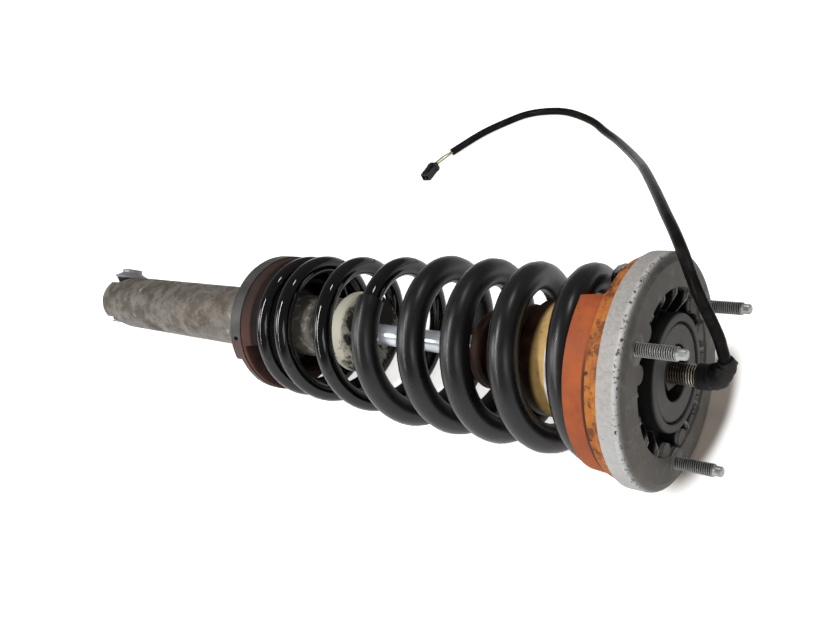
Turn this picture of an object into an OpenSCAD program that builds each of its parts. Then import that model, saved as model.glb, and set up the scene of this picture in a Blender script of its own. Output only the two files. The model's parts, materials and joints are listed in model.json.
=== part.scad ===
// Coilover strut with top mount, coil spring, gas damper and damper control lead.
// Each piece is drawn about the strut's own axis. Stations (names ending in _s) are
// measured along that axis from the centre of the lower bush towards the top mount.
// lay_down() rests the strut on the rims of its spring seat and its top mount.

/* [Ground contact] */
// Station of the spring seat's foot edge
seat_foot_s = 260.5; // [259:0.5:262]
// Radius of the spring seat
seat_r = 56.8; // [56.6:0.1:57.4]
// Station of the top mount's foot edge
rim_foot_s = 592; // [591:0.5:593]
// Radius of the top mount
rim_r = 70; // [69.5:0.1:70.5]

/* [Damper tube] */
// Radius of the tube below the spring seat
foot_r = 26.5; // [26.2:0.1:27.5]
// Radius of the tube above the spring seat
tube_r = 25; // [24.9:0.1:25.5]
// Bore radius of the tube
bore_r = 23; // [22.6:0.1:23.2]
// Station of the shoulder under the spring seat
shoulder_s = 258; // [256:0.5:259]
// Station of the open end of the tube
tube_end_s = 362; // [361:0.5:362]

/* [Lower bush] */
// Angle of the bush axis around the strut
bush_turn = -52; // [-60:1:-45]
// Distance from the strut's axis to the flat on each side of the eye
eye_half = 18.5; // [18:0.5:20]
// Radius of the flat on each side of the eye
eye_flat_r = 20; // [19:0.5:21]
// Radius of the inner sleeve
sleeve_r = 10; // [9:0.5:11]
// Bolt hole radius of the inner sleeve
bolt_r = 6.1; // [5.1:0.1:6.6]
// Height of the sleeve's long end above the strut's axis
sleeve_top = 34.5; // [33:0.5:36]
// Depth of the sleeve's short end below the strut's axis
sleeve_foot = 23.5; // [22:0.5:25]

/* [Spring] */
// Radius of the spring wire
wire_r = 7; // [6.5:0.1:7]
// Radius of the rubber sleeve on the upper coils
cover_r = 9.2; // [8.8:0.1:9.4]
// Station of the wire centre at the lower tip
tip_s = 290.5; // [290:0.1:291]
// Mean coil radius at the lower tip
coil_foot_r = 50.4; // [50:0.1:51]
// Mean coil radius at the upper tip
coil_head_r = 52.4; // [52:0.1:52.5]
// Angle of the lower tip around the strut
tip_turn = 182; // [175:1:190]

/* [Rod and piston] */
// Radius of the piston rod
rod_r = 8; // [7.5:0.5:8]
// Radius of the rod's threaded ends
rod_end_r = 6; // [5:0.5:6]
// Radius of the passage for the control lead
lead_bore_r = 2.5; // [2:0.1:3]
// Radius of the control lead's core
lead_r = 1.2; // [0.8:0.1:1.5]
// Station of the lower face of the piston
piston_s = 296; // [290:1:298]
// Running clearance of everything that slides
running = 0.05; // [0.02:0.01:0.08]

/* [Bump stop] */
// Station of the free end of the bump stop
bump_s = 477; // [476:0.5:480]
// Radius of the hole through the bump stop
bump_bore_r = 8.3; // [8.2:0.1:9]

/* [Top mount] */
// Station of the mounting face
face_s = 606; // [605:0.5:607]
// Outer radius of the ring recess
recess_r = 49.5; // [48:0.5:50]
// Outer radius of the hub ring
hub_r = 35; // [34:0.5:36]
// Radius of the rubber's seat in the hub
rubber_r = 30; // [29.5:0.5:30.5]
// Radius of the core inside the rubber
core_r = 24; // [23:0.5:25]
// Radius of the wrench hole in the centre disc
wrench_r = 16.8; // [15:0.2:18]
// Circle radius of the three studs
stud_circle = 56; // [55:0.5:57]
// Radius of the stud thread
stud_r = 4; // [4:0.5:5]
// Length of stud that stands out of the face
stud_out = 27; // [22:1:30]
// Angle of the first stud around the strut
stud_turn = 28; // [20:1:36]
// Number of ribs between two stud bosses
rib_count = 4; // [2:1:5]

/* [Control lead] */
// Radius of the lead's jacket
lead_jacket_r = 3.6; // [3:0.1:3.6]
// Radius of each wire at the plug
plug_wire_r = 0.9; // [0.6:0.1:1]
// Length of the plug
plug_l = 22; // [20:1:24]

/* [Hidden] */

$fn = 72;
eps = 0.01;

// Ground pose: the tilt that lets both rims touch the ground, and the height of the
// strut's axis over the ground at station 0.
tilt = atan((rim_r - seat_r) / (rim_foot_s - seat_foot_s));
axis_h = seat_r * cos(tilt) - seat_foot_s * sin(tilt);
// Shift that centres the strut and its cable boot on the origin.
lay_x = -306.6;

// Stations of the inner pieces.
chamber_s = 44;
divider_s = 76;
valve_s = 254;
guide_s = 334;
guide_top_s = 356;
circlip_r = 24.2;
cup_s = 573;
cup_base_t = 2;
boss_foot_s = cup_s + cup_base_t;
rod_shoulder_s = rim_foot_s - 8;
core_plate_s = rim_foot_s - 5;
nut_s = rim_foot_s + 1;
rod_top_s = 624;

// Wire pitch per turn of the spring: close at the lower end, open in the middle.
coil_pitch = [
    [0, 13], [0.6, 16], [1.2, 19], [1.6, 32], [1.9, 48], [2.6, 45], [3.6, 42], [4.6, 40],
    [5.6, 35], [6.6, 36.5], [7.3, 40], [7.6, 33], [8, 14], [8.4, 11]
];
coil_rings = 8;
coil_steps = 67;
coil_sides = 6;
// Step of the wire at which the rubber cover starts, half way along one step.
cover_step = 27;

// Centre line of the control lead, in ground coordinates: up out of the boot, over the
// mount's rim, down to the ground behind it and along the ground to the plug.
lead_lie = lead_jacket_r + 0.1;
lead_points = [
    [325.4, 3.9, 84.7], [325.1, 6.5, 91], [323.6, 8.6, 99], [320.3, 12, 109], [315.1, 18, 117.5],
    [308.7, 27.4, 123.5], [300.7, 40.6, 127], [290.3, 57.8, 126], [274.8, 83.1, 119],
    [250.4, 124.6, 103], [217.4, 179.8, 78], [185.5, 230.5, 50.5], [157, 271.5, 30.5],
    [131, 306, 15.5], [106, 333.5, 6.6], [82, 356, 4.3], [50, 374, lead_lie + 0.1],
    [24, 380, lead_lie], [-4, 377, lead_lie], [-26, 363, lead_lie], [-48, 343, lead_lie],
    [-70, 310, lead_lie]
];
boot_elbow = [325.2, 0, 75.5];
plug_mid = [-80, 276, 4.2];
plug_w = 10;
plug_h = 8;

// ---------------------------------------------------------------- helpers

// Sets the strut, drawn upright, down on the ground. Local X then points up,
// local Y towards the near side and local Z along the strut.
module lay_down() {
    translate([lay_x, 0, axis_h]) rotate([0, 90 - tilt, 0]) rotate([0, 0, 180]) children();
}

// Plain ring between two stations.
module ring(outer, inner, from, to) {
    translate([0, 0, from]) difference() {
        cylinder(r = outer, h = to - from);
        translate([0, 0, -eps]) cylinder(r = inner, h = to - from + 2 * eps);
    }
}

// Solid of revolution from [radius, station] points.
module turned(points) {
    rotate_extrude() polygon(points);
}

// Points of an arc in a profile, from one angle to another.
function arc(centre, r, from, to, steps = 6) =
    [for (i = [0:steps]) centre + r * [cos(from + (to - from) * i / steps),
                                       sin(from + (to - from) * i / steps)]];

function running_sum(v) = [for (i = 0, t = 0; i < len(v); t = t + v[i], i = i + 1) t + v[i]];

// Point of a Catmull-Rom curve between b and c.
function curve_point(a, b, c, d, t) =
    0.5 * (2 * b + (c - a) * t + (2 * a - 5 * b + 4 * c - d) * t * t
           + (3 * b - a - 3 * c + d) * t * t * t);

// Smooth run through all points, with a number of steps on each leg.
function smooth(p, steps) = concat(
    [for (i = [0:len(p) - 2], k = [0:steps - 1])
        curve_point(p[max(i - 1, 0)], p[i], p[i + 1], p[min(i + 2, len(p) - 1)], k / steps)],
    [p[len(p) - 1]]);

function unit(v) = v / norm(v);
function heading(p, i) = unit(p[min(i + 1, len(p) - 1)] - p[max(i - 1, 0)]);

// Ring of points square to a heading, with one side turned towards a guide vector.
function side_ring(centre, along, guide, r, sides) =
    let (u = unit(guide - (guide * along) * along), v = cross(along, u))
    [for (k = [0:sides - 1]) centre + r * (cos(360 * k / sides) * u + sin(360 * k / sides) * v)];

function quad(a, b, c, d) = [[a, b, c], [a, c, d]];

// Faces of a tube wall between rings that follow each other in the point list.
function wall_faces(rings, sides, first = 0, inward = false) =
    [for (i = [0:rings - 2], k = [0:sides - 1])
        let (a = first + i * sides + k, b = first + i * sides + (k + 1) % sides)
        each (inward ? quad(a, a + sides, b + sides, b) : quad(a, b, b + sides, a + sides))];

// Round bar swept along points.
module swept_bar(p, r, sides, guide = [0, 0, 1]) {
    rings = [for (i = [0:len(p) - 1]) each side_ring(p[i], heading(p, i), guide, r, sides)];
    last = (len(p) - 1) * sides;
    caps = concat([for (k = [1:sides - 2]) [0, k + 1, k]],
                  [for (k = [1:sides - 2]) [last, last + k, last + k + 1]]);
    polyhedron(rings, [for (f = concat(wall_faces(len(p), sides), caps)) [f[0], f[2], f[1]]]);
}

// ---------------------------------------------------------------- spring

function coil_turn(i) = tip_turn + 360 * i / coil_rings;
function coil_mean(i) = coil_foot_r + (coil_head_r - coil_foot_r) * i / coil_steps;
coil_s = concat([tip_s], running_sum([for (i = [0:coil_steps - 1])
    lookup((i + 0.5) / coil_rings, coil_pitch) / coil_rings]) + [for (i = [1:coil_steps]) tip_s]);
function coil_at(i) = [coil_mean(i) * cos(coil_turn(i)), coil_mean(i) * sin(coil_turn(i)), coil_s[i]];
function coil_heading(i) = unit([-sin(coil_turn(i)), cos(coil_turn(i)),
    lookup(i / coil_rings, coil_pitch) / (2 * PI * coil_mean(i))]);
function coil_ring(i, r) =
    side_ring(coil_at(i), coil_heading(i), [cos(coil_turn(i)), sin(coil_turn(i)), 0], r, coil_sides);

wire_points = [for (i = [0:coil_steps]) each coil_ring(i, wire_r)];
function wire_out(i) = i < cover_step ? wire_r : cover_r;
coil_gap = min([for (i = [0:coil_steps - 6], j = [6:min(10, coil_steps - i)])
    norm(coil_at(i) - coil_at(i + j)) - wire_out(i) - wire_out(i + j)]);
echo(least_gap_between_coils_mm = coil_gap);

module coil_spring() {
    last = coil_steps * coil_sides;
    caps = concat([for (k = [1:coil_sides - 2]) [0, k + 1, k]],
                  [for (k = [1:coil_sides - 2]) [last, last + k, last + k + 1]]);
    color("#1b1c1e") lay_down() polyhedron(wire_points,
        [for (f = concat(wall_faces(coil_steps + 1, coil_sides), caps)) [f[0], f[2], f[1]]]);
}

// Rubber cover of the upper coils: an outer and an inner skin that share the wire's rings.
module spring_cover() {
    inner_r = wire_r + 0.1;
    outer = cover_skin(cover_r);
    inner = cover_skin(inner_r);
    rings = coil_steps - cover_step + 1;
    n = rings * coil_sides;
    last = n - coil_sides;
    ends = [for (k = [0:coil_sides - 1]) let (m = (k + 1) % coil_sides)
        each concat(quad(k, n + k, n + m, m), quad(last + k, last + m, n + last + m, n + last + k))];
    faces = concat(wall_faces(rings, coil_sides), wall_faces(rings, coil_sides, n, true), ends);
    color("#2a2b2c") lay_down() polyhedron(concat(outer, inner),
        [for (f = faces) [f[0], f[2], f[1]]]);
}
function cover_skin(r) = concat(
    (coil_ring(cover_step, r) + coil_ring(cover_step + 1, r)) / 2,
    [for (i = [cover_step + 1:coil_steps]) each coil_ring(i, r)]);

// ---------------------------------------------------------------- damper

module damper_tube() {
    crown_r = 7;
    color("#a9a49a") lay_down() difference() {
        union() {
            sphere(r = foot_r);
            cylinder(r = foot_r, h = shoulder_s);
            cylinder(r = tube_r, h = tube_end_s);
        }
        turned(concat([[0, chamber_s]], arc([bore_r - crown_r, chamber_s + crown_r], crown_r, -90, 0),
                      [[bore_r, tube_end_s + 1], [0, tube_end_s + 1]]));
        turned([[0, guide_top_s], [circlip_r + running, guide_top_s],
                [circlip_r + running, guide_top_s + 2], [0, guide_top_s + 2]]);
        across() cylinder(r = 15, h = 80, center = true);
        for (side = [0, 180])
            across() rotate([side, 0, 0]) translate([0, 0, eye_half]) cylinder(r = eye_flat_r, h = 30);
    }
}

// Turns a piece drawn along Z onto the lower bush's axis.
module across() {
    rotate([0, 0, bush_turn]) rotate([0, 90, 0]) children();
}

module bush_ring() {
    color("#8c8c8c") lay_down() across() ring(15, 13.6, -eye_half + 0.5, eye_half - 0.5);
}

module bush_rubber() {
    inner = sleeve_r + running;
    color("#202124") lay_down() across() turned([
        [inner, -21.5], [12.5, -21.5], [13.6, -18.5], [13.6, 18.2], [12, 18.6], [12, 20],
        [15, 24.2], [15, 25], [inner, 25]
    ]);
}

module bush_sleeve() {
    brim_r = 17;
    brim_t = 2;
    color("#b7b2c0") lay_down() across() turned([
        [bolt_r, -sleeve_foot], [sleeve_r + 3, -sleeve_foot], [sleeve_r + 3, -sleeve_foot + 1.5],
        [sleeve_r, -sleeve_foot + 1.6], [sleeve_r, 30.5 - brim_t], [brim_r - 0.4, 27 - brim_t],
        [brim_r, 27 - brim_t / 2], [brim_r - 0.6, 27], [sleeve_r + 0.6, 30.2], [sleeve_r, 31],
        [sleeve_r, sleeve_top - 0.8], [sleeve_r - 0.8, sleeve_top], [bolt_r, sleeve_top]
    ]);
}

// Pressed seat: a cup with a skirt around it. The skirt has a notch for the pad's tongue,
// and is cut short along one side.
seat_floor_s = 267;
skirt_top_s = 273;
skirt_t = 3;
module spring_seat() {
    notch_turn = 57;
    notch_w = 3.2;
    short_from = 76;
    short_to = 140;
    short_s = 267.5;
    collar_r = 29;
    collar_top_s = 279;
    slope_r = 35.6;
    color("#7c7b79") lay_down() difference() {
        turned([
            [tube_r + 0.02, shoulder_s], [foot_r + 2, shoulder_s], [slope_r + 3, seat_floor_s - skirt_t],
            [seat_r - skirt_t, seat_floor_s - skirt_t], [seat_r - skirt_t, seat_foot_s],
            [seat_r, seat_foot_s], [seat_r, skirt_top_s], [seat_r - skirt_t, skirt_top_s],
            [seat_r - skirt_t, seat_floor_s], [slope_r, seat_floor_s],
            [collar_r, seat_floor_s + 3], [collar_r, collar_top_s], [tube_r + 0.02, collar_top_s]
        ]);
        rotate([0, 0, notch_turn]) translate([seat_r - skirt_t - 0.6, -notch_w / 2, 264.5])
            cube([skirt_t + 1.6, notch_w, 5]);
        rotate([0, 0, short_from]) rotate_extrude(angle = short_to - short_from) polygon([
            [seat_r - skirt_t - 0.6, seat_foot_s - 1], [seat_r + 1, seat_foot_s - 1],
            [seat_r + 1, short_s], [seat_r - skirt_t + 1, short_s],
            [seat_r - skirt_t + 1, seat_floor_s - skirt_t - 0.4],
            [seat_r - skirt_t - 0.6, seat_floor_s - skirt_t - 0.4]
        ]);
    }
}

// Height of the lower pad's face: it climbs under the first coil, ends in a step at the
// near side and stays low from there to the wire's end, but for one low rib.
pad_low_s = 277;
ramp_end_turn = 246;
rib_turn = 292;
function foot_ramp(turn) =
    turn < ramp_end_turn
        ? lookup(turn / 360 * coil_rings, [for (i = [0:coil_rings]) [i, coil_s[i]]]) - wire_r - 0.1
        : pad_low_s + (abs(turn - rib_turn) < 4 ? 1.6 : 0);

// Closed ring of sections that go once round the strut, so that a face can climb like
// the wire. The last section meets the first in the steep wall of the wire's stop.
ramp_arc = 359;
ramp_steps = 71;
function ramp_turn(i) = ramp_arc * i / ramp_steps;
module ramp_ring(sections, base_turn) {
    n = len(sections);
    m = len(sections[0]);
    points = [for (i = [0:n - 1], q = sections[i])
        let (a = base_turn + ramp_turn(i)) [q[0] * cos(a), q[0] * sin(a), q[1]]];
    walls = [for (i = [0:n - 1], k = [0:m - 1])
        let (a = i * m, b = (i + 1) % n * m, k2 = (k + 1) % m) each quad(a + k, a + k2, b + k2, b + k)];
    polyhedron(points, [for (f = walls) [f[0], f[2], f[1]]]);
}

module lower_spring_pad() {
    foot = seat_floor_s + 0.2;
    lip_s = skirt_top_s + 0.2;
    lip_r = seat_r - skirt_t - 0.2;
    collar_in_r = 36;
    collar_r = 40;
    collar_s = 296;
    wall_s = 284.5;
    color("#6b4338") lay_down() ramp_ring([for (i = [0:ramp_steps])
        let (top = foot_ramp(ramp_turn(i)), wall = min(top, wall_s)) [
            [collar_in_r, foot], [collar_in_r, collar_s - 1], [collar_in_r + 1, collar_s],
            [collar_r - 0.6, collar_s], [collar_r, collar_s - 2], [collar_r + 0.6, top],
            [coil_foot_r + 1.5, top], [seat_r - 0.5, wall], [seat_r, wall - 0.6], [seat_r, lip_s],
            [lip_r, lip_s], [lip_r, foot]
        ]], tip_turn);
}

module tube_cap() {
    cap_r = 31.5;
    base_s = 350;
    color("#cfc9b4") lay_down() turned([
        [tube_r + running, base_s], [cap_r - 1, base_s], [cap_r, base_s + 1], [cap_r, 363],
        [28.5, 368], [rod_r + 0.6, 368], [rod_r + 0.6, tube_end_s], [tube_r + running, tube_end_s]
    ]);
}

module rod_guide() {
    color("#9a9a94") lay_down() turned([
        [rod_r + running, guide_s], [19, guide_s], [bore_r - 0.02, guide_s + 3],
        [bore_r - 0.02, guide_top_s], [13, guide_top_s], [13, guide_top_s - 8],
        [rod_r + running, guide_top_s - 8]
    ]);
}

module rod_seal() {
    color("#1d1d20") lay_down() turned([
        [rod_r + running, guide_top_s - 8], [12.95, guide_top_s - 8], [12.95, guide_top_s],
        [rod_r + 1.6, guide_top_s], [rod_r + running, guide_top_s - 1.5],
        [rod_r + running, guide_top_s - 3], [rod_r + 1, guide_top_s - 4.2],
        [rod_r + running, guide_top_s - 5.5]
    ]);
}

module guide_circlip() {
    gap = 7;
    color("#8f8f8f") lay_down() difference() {
        ring(circlip_r, 20.5, guide_top_s, guide_top_s + 2);
        translate([0, -gap / 2, guide_top_s - 1]) cube([30, gap, 4]);
    }
}

module dividing_piston() {
    color("#b0b0ac") lay_down() turned([
        [0, divider_s + 6], [16, divider_s + 6], [16, divider_s], [bore_r - 1, divider_s],
        [bore_r - running, divider_s + 1], [bore_r - running, divider_s + 6],
        [bore_r - 3, divider_s + 6], [bore_r - 3, divider_s + 9.6],
        [bore_r - running, divider_s + 9.6], [bore_r - running, divider_s + 16], [0, divider_s + 16]
    ]);
}

module dividing_piston_seal() {
    color("#1d1d20") lay_down()
        ring(bore_r - running, bore_r - 3 + running, divider_s + 6 + running, divider_s + 9.6 - running);
}

// ---------------------------------------------------------------- rod

module piston_rod() {
    color("#d9dbe0") lay_down() turned([
        [lead_bore_r, valve_s - 4], [rod_end_r, valve_s - 4], [rod_end_r, piston_s + 22],
        [rod_r, piston_s + 22], [rod_r, rod_shoulder_s], [rod_end_r, rod_shoulder_s],
        [rod_end_r, rod_top_s - 1], [rod_end_r - 1, rod_top_s], [lead_bore_r, rod_top_s]
    ]);
}

module valve_lead() {
    color("#30343a") lay_down() translate([0, 0, valve_s]) cylinder(r = lead_r, h = rod_top_s + 2 - valve_s);
}

module rebound_stop() {
    color("#c9c4a8") lay_down() turned([
        [rod_r + 0.02, piston_s + 25], [13, piston_s + 25], [14, piston_s + 26.5],
        [14, guide_s - 2], [12.5, guide_s - 0.3], [rod_r + 0.02, guide_s - 0.3]
    ]);
}

// Stack of spring washers that covers the piston's ports.
module shim_stack(radii, from, up) {
    t = 0.5;
    for (i = [0:len(radii) - 1])
        ring(radii[i], rod_end_r + 0.02, from + (up ? i : -i - 1) * t, from + (up ? i + 1 : -i) * t);
}

module rebound_shims() {
    color("#a6a6a6") lay_down() shim_stack([18, 17, 15, 12, 9], piston_s + 19.5, true);
}

module compression_shims() {
    color("#a6a6a6") lay_down() shim_stack([18, 17, 15, 12, 9], piston_s, false);
}

module piston() {
    port_circle = 14;
    land_s = piston_s + 4;
    color("#8e8f8c") lay_down() difference() {
        turned([
            [rod_end_r + 0.02, piston_s], [bore_r - 1.5, piston_s], [bore_r - 0.4, piston_s + 1],
            [bore_r - 0.4, land_s], [bore_r - 1.8, land_s], [bore_r - 1.8, land_s + 11],
            [bore_r - 0.4, land_s + 11], [bore_r - 0.4, piston_s + 18.5],
            [bore_r - 1.5, piston_s + 19.5], [rod_end_r + 0.02, piston_s + 19.5]
        ]);
        for (a = [0:60:300])
            rotate([0, 0, a]) translate([port_circle, 0, piston_s - 1]) cylinder(r = 2, h = 22);
    }
}

module piston_band() {
    color("#5b5046") lay_down() ring(bore_r - running, bore_r - 1.8, piston_s + 4, piston_s + 15);
}

module control_valve() {
    color("#77797c") lay_down() turned([
        [rod_end_r + 0.02, valve_s + 8], [12, valve_s + 8], [17, valve_s + 11], [18, valve_s + 13],
        [18, piston_s - 6], [16, piston_s - 3], [9, piston_s - 2.5], [rod_end_r + 0.02, piston_s - 2.5]
    ]);
}

module piston_nut() {
    color("#9c9c98") lay_down() difference() {
        translate([0, 0, valve_s]) cylinder(r = 10.97, h = 8, $fn = 6);
        translate([0, 0, valve_s - 1]) cylinder(r = rod_end_r + 0.02, h = 10);
    }
}

// ---------------------------------------------------------------- bump stop

// Rounded lobe of the foam in profile, from one waist to the next.
function lobe(r, from, to, round_r = 5) = concat(
    arc([r - round_r, from + round_r], round_r, -90, 0, 4),
    arc([r - round_r, to - round_r], round_r, 0, 90, 4));

module bump_stop() {
    waist = 21;
    color("#b5833d") lay_down() turned(concat(
        [[bump_bore_r, bump_s], [15, bump_s]],
        lobe(27, bump_s + 1, bump_s + 21), [[waist, bump_s + 22.5], [waist, bump_s + 26.5]],
        lobe(33, bump_s + 28, bump_s + 53, 7), [[waist + 9, bump_s + 54], [waist + 9, bump_s + 55]],
        lobe(38, bump_s + 56, cup_s - 0.1, 3),
        [[bump_bore_r, cup_s - 0.1]]));
}

module bump_stop_band() {
    color("#d8d6cf") lay_down() ring(38.6, 38, 548, 553.5);
}

module bump_stop_cup() {
    cup_r = 39.2;
    cup_in_r = 38.1;
    cup_mouth_s = 557;
    hole_r = 12;
    color("#3a3a3a") lay_down() turned([
        [hole_r, cup_s], [cup_in_r, cup_s], [cup_in_r, cup_mouth_s], [cup_r, cup_mouth_s],
        [cup_r, boss_foot_s], [hole_r, boss_foot_s]
    ]);
}

// ---------------------------------------------------------------- top mount

// Underside of the housing: a boss on the bump stop's cup, and a step that centres the pad.
mount_boss_r = 39.6;
mount_step_r = 52.4;
mount_step_s = rim_foot_s - 5;
// Pressed end of each stud inside the housing.
shank_r = 4.4;
shank_foot_s = face_s - 11;

// Height of the upper pad's face: it follows the top of the last coil down to the
// plain face of the thick part.
pad_thick_s = 568;
head_turn = coil_turn(coil_steps);
function head_ramp(back) =
    let (i = coil_steps - back / 360 * coil_rings)
    max(pad_thick_s, lookup(i, [for (k = [coil_steps - 9:coil_steps]) [k, coil_s[k]]]) + cover_r + 0.3);

module upper_spring_pad() {
    step_turn = 3;
    lead_in = 360 - (step_turn + 360 - (head_turn % 360)) % 360;
    thin_s = 583.6;
    thick_edge_r = 60;
    groove_r = 64.8;
    bead_r = 66.2;
    flange_r = 68;
    seat_s = mount_step_s - 0.1;
    flange_s = rim_foot_s - 0.1;
    color("#c8642a") lay_down() ramp_ring([for (i = [0:ramp_steps])
        let (low = min(thin_s, head_ramp(max(0, lead_in - ramp_turn(i)))),
             edge = thick_edge_r + (low - pad_thick_s) * 0.28) [
            [mount_boss_r + 0.4, seat_s], [mount_boss_r + 0.4, low], [edge, low],
            [groove_r, max(thin_s - 2.1, low + 0.4)], [groove_r, max(thin_s - 1, low + 0.9)],
            [bead_r, max(thin_s - 0.2, low + 1.4)], [bead_r, flange_s - 4.3],
            [flange_r, flange_s - 3.7], [flange_r, flange_s],
            [mount_step_r + 0.2, flange_s], [mount_step_r + 0.2, seat_s]
        ]], step_turn);
}

module stud_places() {
    for (a = [0, 120, 240]) rotate([0, 0, stud_turn + a]) children();
}

// Cast housing of the top mount: rim, ring recess with ribs, stud bosses and hub.
module mount_housing() {
    floor_s = rim_foot_s + 0.5;
    rubber_foot_s = core_plate_s - 6;
    chamfer = 1.6;
    rim_round = 2.6;
    rim_top_s = face_s - chamfer;
    rib_step = 21;
    color("#a3a3a1") lay_down() difference() {
        union() {
            turned(concat(
                [[20, boss_foot_s], [mount_boss_r, boss_foot_s], [mount_boss_r, mount_step_s],
                 [mount_step_r, mount_step_s], [mount_step_r, rim_foot_s], [rim_r, rim_foot_s]],
                arc([rim_r - rim_round, rim_top_s - rim_round], rim_round, 0, 90),
                [[64.6, face_s], [recess_r + 0.6, face_s], [recess_r, face_s - 0.6],
                 [recess_r, floor_s], [hub_r, floor_s]],
                arc([hub_r - 1.6, face_s + 0.4], 1.6, 0, 90, 4),
                [[rubber_r + 0.4, face_s + 2], [rubber_r, face_s + 1.6], [rubber_r, rubber_foot_s],
                 [20, rubber_foot_s]]));
            stud_places() {
                stud_boss(floor_s);
                for (k = [0:rib_count - 1])
                    rotate([0, 0, 60 + (k - (rib_count - 1) / 2) * rib_step]) rib(floor_s);
            }
        }
        stud_places() translate([stud_circle, 0, shank_foot_s]) cylinder(r = shank_r + 0.02, h = 12);
    }
}

// Boss of one stud, with a round lobe on each side of it.
module stud_boss(floor_s) {
    h = face_s - floor_s;
    translate([stud_circle, 0, floor_s - 0.3]) cylinder(r = 9, h = h - 0.3);
    for (side = [-1, 1])
        rotate([0, 0, side * 14.5]) translate([recess_r - 3, 0, floor_s - 0.3]) cylinder(r = 5.5, h = h - 0.9);
}

// Thin rib from the hub to the rim, flat at the rim and falling towards the hub.
module rib(floor_s) {
    rib_t = 1.7;
    translate([0, rib_t / 2, 0]) rotate([90, 0, 0]) linear_extrude(rib_t) polygon([
        [hub_r - 1, floor_s - 0.3], [recess_r + 1, floor_s - 0.3], [recess_r + 1, face_s - 1.5],
        [recess_r - 4, face_s - 1.5], [hub_r - 1, face_s - 8]
    ]);
}

module mount_rubber() {
    foot_s = core_plate_s - 6;
    color("#1c1c1c") lay_down() turned([
        [15, foot_s], [rubber_r, foot_s], [rubber_r, face_s - 5.4], [core_r + running, face_s - 5.4],
        [core_r + running, core_plate_s], [15, core_plate_s]
    ]);
}

module mount_core() {
    disc_r = 29;
    color("#75736f") lay_down() turned([
        [rod_end_r + 0.02, core_plate_s], [core_r, core_plate_s], [core_r, face_s - 5.3],
        [disc_r - 0.6, face_s - 5.3], [disc_r, face_s - 4.7], [disc_r, face_s],
        [disc_r - 1, face_s + 1], [wrench_r + 0.6, face_s + 1],
        [wrench_r, face_s + 0.4], [wrench_r, nut_s], [rod_end_r + 0.02, nut_s]
    ]);
}

module rod_washer() {
    color("#8f8f8f") lay_down() ring(14, rod_end_r + 0.02, rod_shoulder_s, core_plate_s);
}

module rod_nut() {
    color("#8a8a88") lay_down() difference() {
        union() {
            ring(13, rod_end_r + 0.02, nut_s, nut_s + 2);
            translate([0, 0, nut_s + 2]) cylinder(r = 10.97, h = 9, $fn = 6);
        }
        translate([0, 0, nut_s - 1]) cylinder(r = rod_end_r + 0.02, h = 14);
    }
}

// Studs: a shank pressed into the housing, a thread and a plain dog point.
module mount_studs() {
    tip_l = 4;
    end_s = face_s + stud_out;
    color("#9b9b98") lay_down() stud_places() translate([stud_circle, 0, 0]) turned([
        [0, shank_foot_s], [shank_r, shank_foot_s], [shank_r, face_s], [stud_r, face_s],
        [stud_r, end_s - tip_l - 1], [stud_r - 1, end_s - tip_l],
        [stud_r - 1, end_s - 0.8], [stud_r - 1.8, end_s], [0, end_s]
    ]);
}

// ---------------------------------------------------------------- control lead

// Turns a piece drawn along Z into a direction.
module aim(v) {
    rotate([0, acos(v[2] / norm(v)), atan2(v[1], v[0])]) children();
}

lead_run = smooth(lead_points, 3);
lead_end = lead_run[len(lead_run) - 1];
lead_end_heading = heading(lead_run, len(lead_run) - 1);

// Rubber elbow that takes the lead out of the hollow rod, with a plugged side branch.
module cable_boot() {
    boot_s = rod_top_s - 4.5;
    branch_l = 10;
    branch = heading(lead_run, 0);
    color("#202124") difference() {
        union() {
            lay_down() translate([0, 0, boot_s]) cylinder(r = 7.5, h = 10.5);
            translate(boot_elbow) sphere(r = 7.9, $fn = 48);
            translate(lead_run[0] - (branch_l + 0.1) * branch) aim(branch)
                cylinder(r1 = 7.2, r2 = 5, h = branch_l);
            translate(boot_elbow) aim([0.5, 1, 0.4]) cylinder(r = 3.4, h = 12);
        }
        lay_down() translate([0, 0, boot_s - 1]) cylinder(r = rod_end_r + 0.02, h = rod_top_s - boot_s + 1);
        lay_down() translate([0, 0, boot_s - 1]) cylinder(r = lead_r + 0.02, h = rod_top_s - boot_s + 3);
    }
}

module damper_cable() {
    color("#1a1b1d") swept_bar(lead_run, lead_jacket_r, 10);
}

// The two wires between the jacket's end and the plug. They leave the one and reach the
// other square to its face.
module cable_wires() {
    plug_back = plug_mid + [0, plug_l / 2, -0.2];
    beside = unit(cross([0, 0, 1], lead_end_heading));
    color("#9aa890") for (side = [-1, 1])
        swept_bar([lead_end + side * 1.6 * beside + 0.1 * lead_end_heading,
                   lead_end + side * 1.6 * beside + 3 * lead_end_heading,
                   lead_end + side * 2.6 * beside + 9.5 * lead_end_heading,
                   plug_back + [side * 2.2, 4, 0], plug_back + [side * 2.2, 0.1, 0]], plug_wire_r, 8);
}

// Two-way plug with a latch on its back.
module cable_connector() {
    color("#17181a") translate(plug_mid) difference() {
        union() {
            cube([plug_w, plug_l, plug_h], center = true);
            translate([0, 1, plug_h / 2 + 0.6]) cube([4, 12, 1.6], center = true);
            translate([0, plug_l / 2 - 4, 0]) cube([plug_w + 1.4, 3, plug_h + 0.2], center = true);
        }
        for (side = [-1, 1])
            translate([side * 2.3, -plug_l / 2, 0]) cube([3.2, 12, 4.6], center = true);
    }
}

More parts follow.
